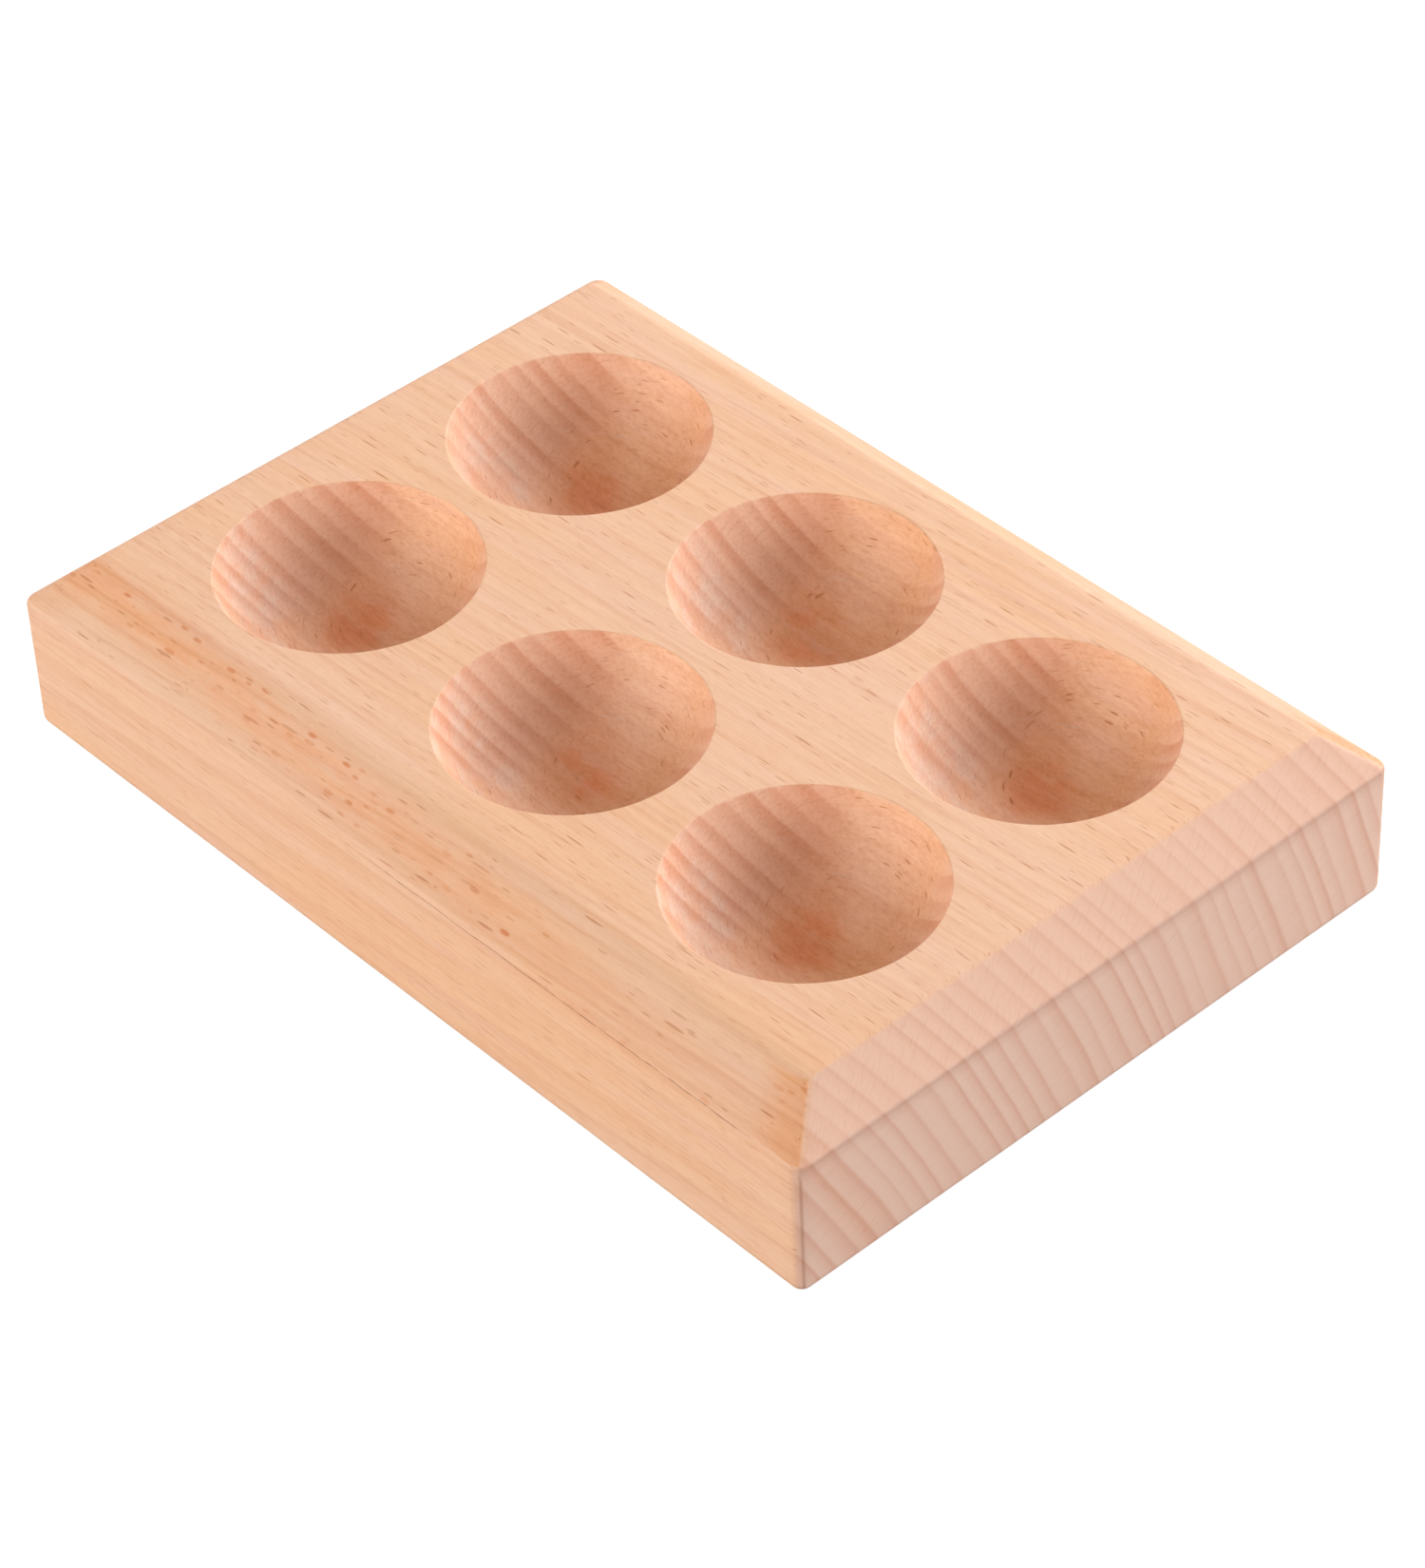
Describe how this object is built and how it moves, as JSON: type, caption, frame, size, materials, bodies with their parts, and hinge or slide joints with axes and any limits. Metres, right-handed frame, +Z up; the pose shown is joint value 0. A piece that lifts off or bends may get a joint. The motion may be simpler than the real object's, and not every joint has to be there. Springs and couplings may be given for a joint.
{
  "type": "egg holder tray",
  "caption": "Solid beech tray with round cups in two rows that hold eggs upright, a wide chamfer around its top and a flat underside.",
  "frame": {"origin": "middle of the underside", "axes": "+X along the grain and the long side, +Y across the board towards the back, +Z up through the cups' mouths"},
  "size_m": [0.19, 0.13, 0.034],
  "materials": {
    "beech": "bare sanded beech, satin"
  },
  "bodies": {
    "root": {"tray_board": "beech"}
  },
  "joints": []
}
